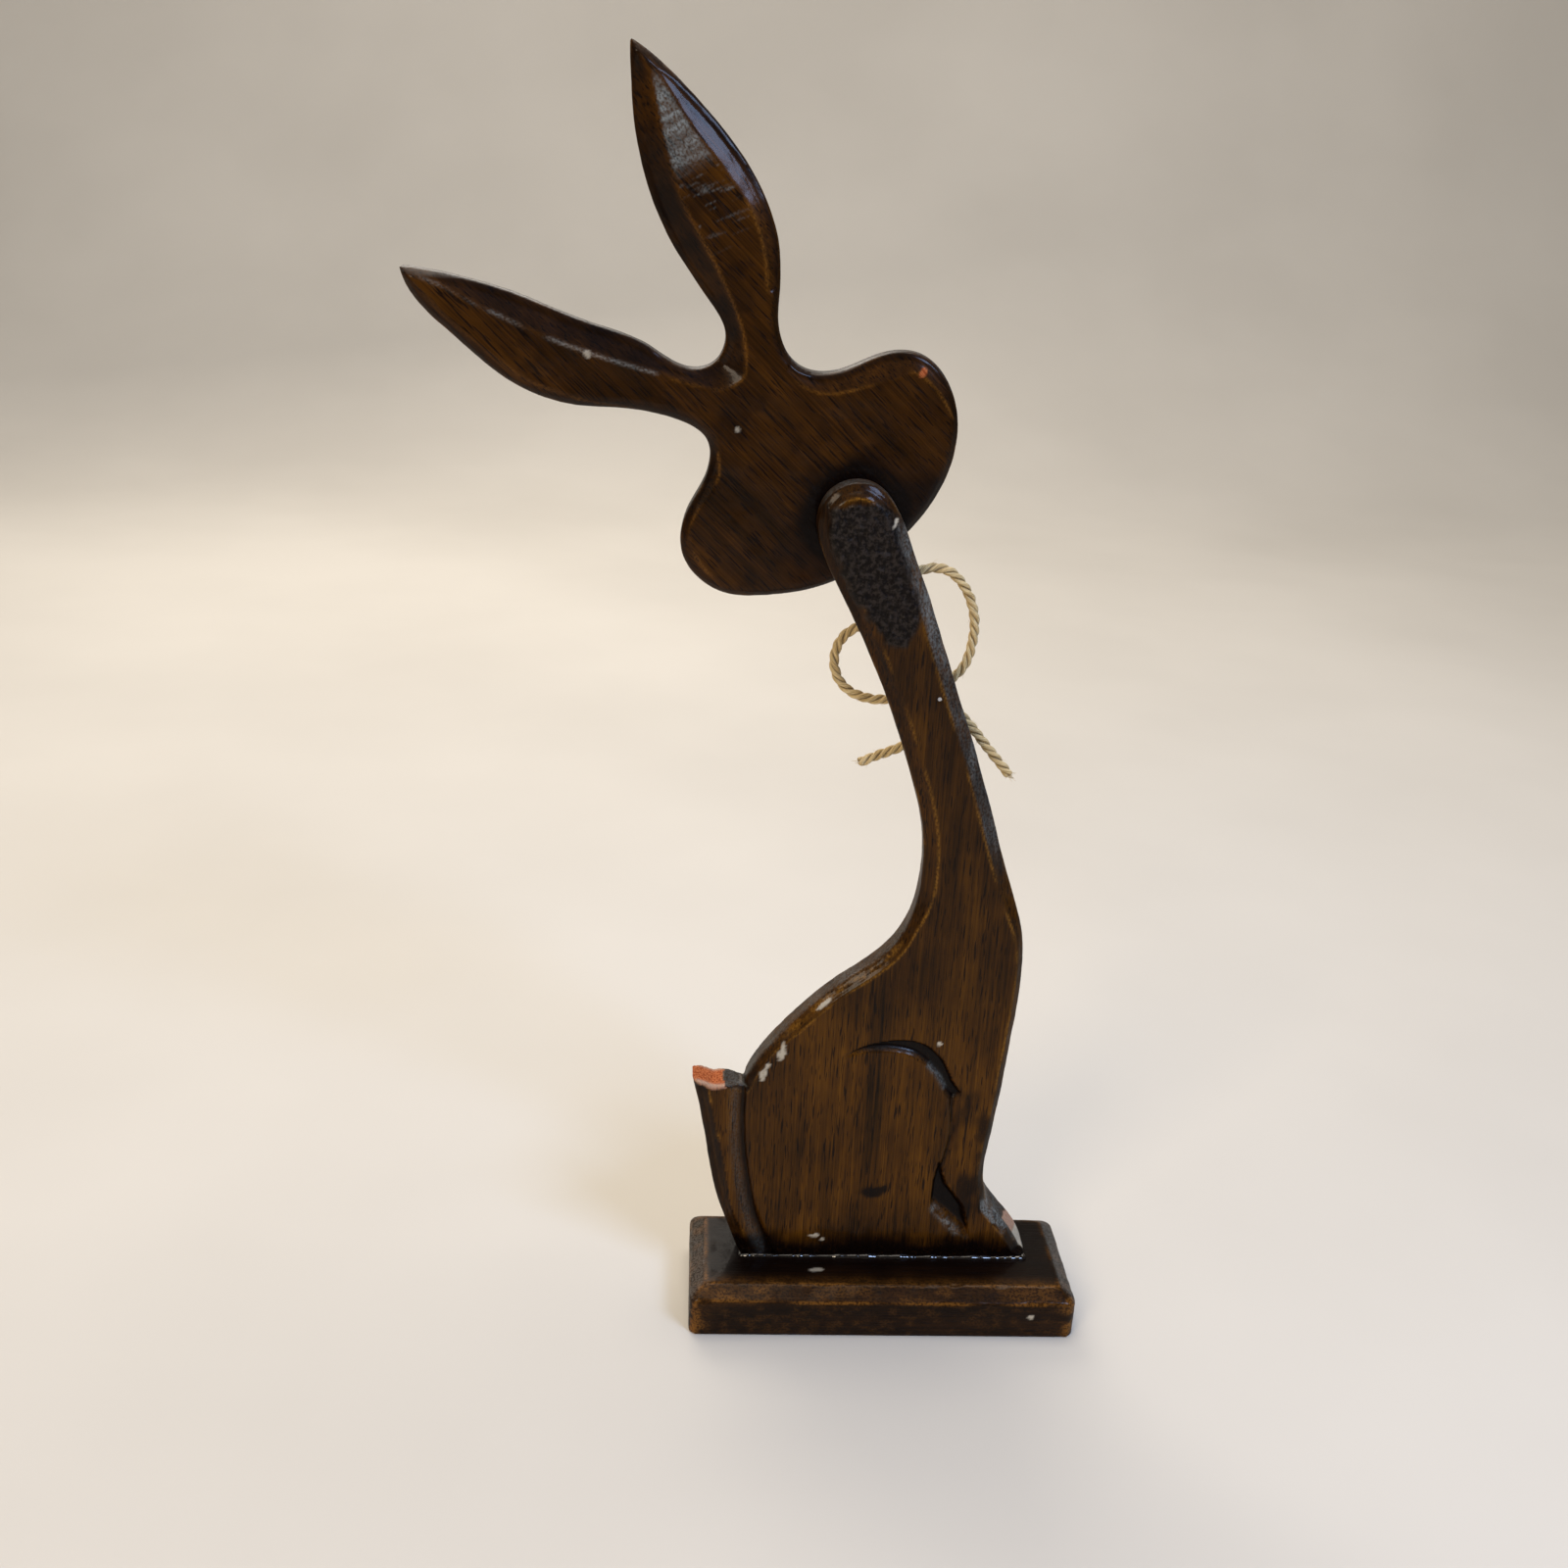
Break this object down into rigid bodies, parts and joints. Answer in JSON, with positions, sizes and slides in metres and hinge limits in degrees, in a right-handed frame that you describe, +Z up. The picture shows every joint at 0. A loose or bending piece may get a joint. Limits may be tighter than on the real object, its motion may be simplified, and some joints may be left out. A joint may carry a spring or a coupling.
{
  "type": "carved rabbit figure",
  "caption": "Carved wooden rabbit figure with a long leaning neck, tilting eared head, twine bow and chamfered plinth, standing as a shelf ornament.",
  "frame": {"origin": "centre of the plinth's underside, on the surface the figure stands on", "axes": "+Z up, the rabbit's face looks along -Y, the tail points to +X and the paw to -X"},
  "size_m": [0.223, 0.0478, 0.4009],
  "materials": {
    "plinth_wood": "dark walnut stain under gloss lacquer, worn edges",
    "body_wood": "walnut stain under gloss lacquer, worn edges",
    "head_wood": "walnut stain under gloss lacquer",
    "raw_wood": "bare sanded",
    "twine": "twisted natural fibre, matt",
    "nail_steel": "bright cut nail"
  },
  "bodies": {
    "stand": {"plinth": "plinth_wood", "body_board": "body_wood", "foot_dowels": "raw_wood", "bow_knot": "twine", "bow_loop_right": "twine", "bow_loop_left": "twine", "bow_tail_right": "twine", "bow_tail_left": "twine", "bow_nail": "nail_steel"},
    "head": {"head_board": "head_wood", "head_peg": "raw_wood"}
  },
  "joints": [
    {"name": "head_tilt", "type": "hinge", "parent": "stand", "child": "head", "pos_m": [0.0242, -0.008, 0.2741], "axis": [0, 1, 0], "range_deg": [-45, 20]}
  ]
}
